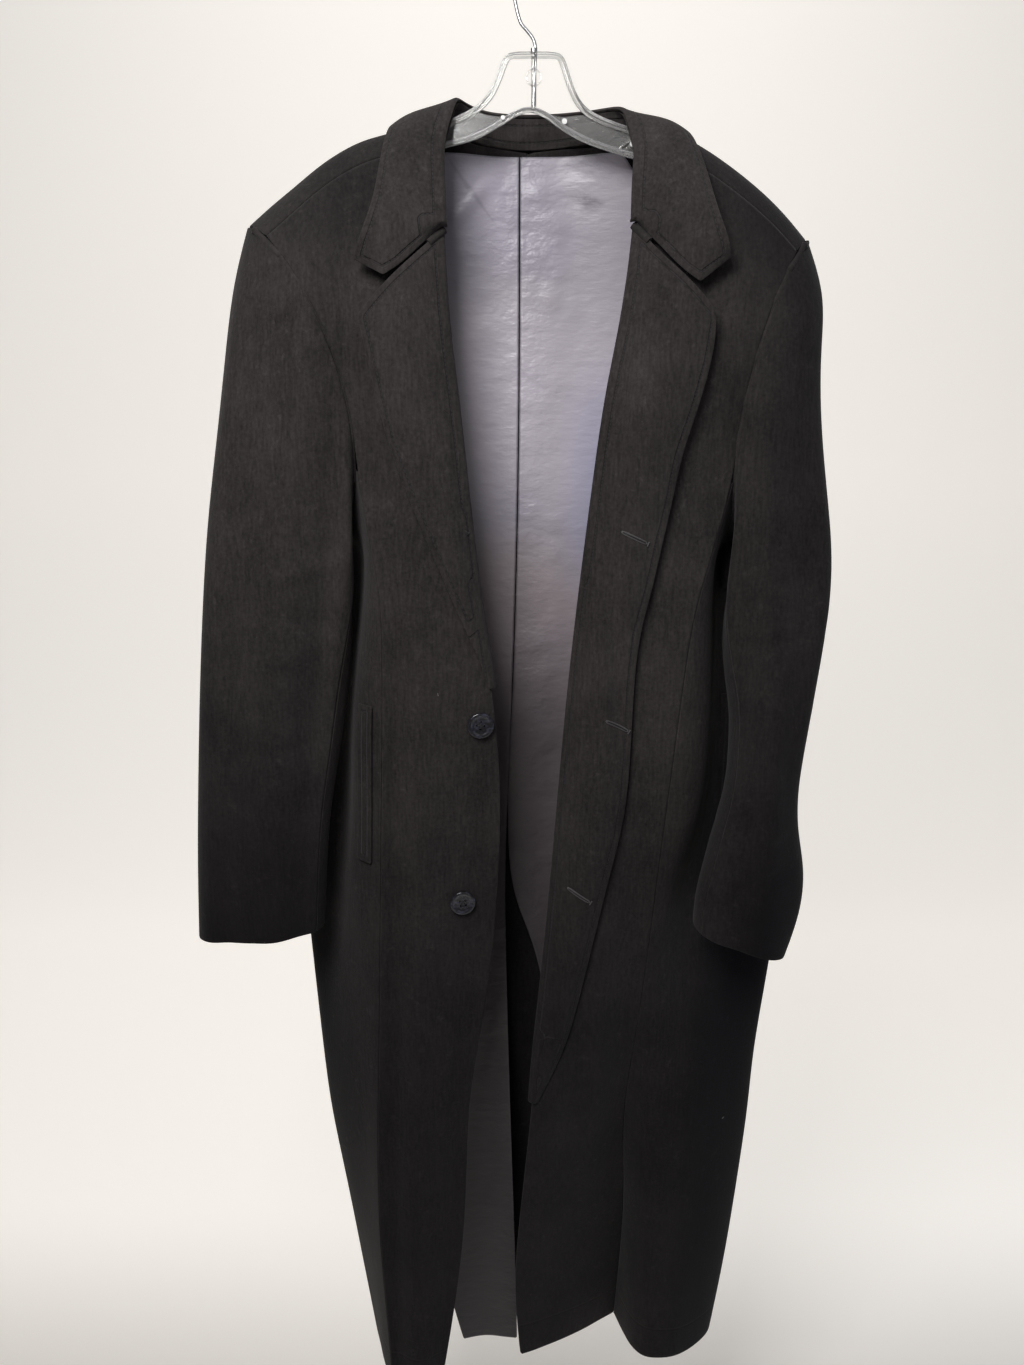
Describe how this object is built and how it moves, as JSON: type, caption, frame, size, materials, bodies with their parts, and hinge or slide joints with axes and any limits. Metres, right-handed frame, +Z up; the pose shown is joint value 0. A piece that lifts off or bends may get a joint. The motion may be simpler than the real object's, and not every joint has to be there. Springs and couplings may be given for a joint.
{
  "type": "overcoat on a hanger",
  "caption": "Long dark wool overcoat, single-breasted with notched lapels, hanging open over a grey satin lining on a clear moulded hanger with a bright wire hook.",
  "frame": {"origin": "the inside of the hook's bend, where the wire rests on a rail or peg", "axes": "+Z up; the coat's front faces -Y; the wearer's right side is at -X and the left side at +X"},
  "size_m": [0.6199, 0.1624, 1.4531],
  "materials": {
    "coating": "black wool melton with a short nap",
    "lining": "grey satin",
    "button": "dark polished",
    "hanger": "clear moulded",
    "hook": "bright wire"
  },
  "bodies": {
    "root": {"front_right": "coating", "side_right": "coating", "back_right": "coating", "sleeve_top_right": "coating", "sleeve_under_right": "coating", "facing_right": "coating", "welt_right": "coating", "lining_right": "lining", "front_left": "coating", "side_left": "coating", "back_left": "coating", "sleeve_top_left": "coating", "sleeve_under_left": "coating", "facing_left": "coating", "welt_left": "coating", "lining_left": "lining", "collar_leaf": "coating", "collar_stand": "coating", "button_top": "button", "button_middle": "button", "button_lower": "button", "hanger": "hanger", "hook": "hook"}
  },
  "joints": []
}
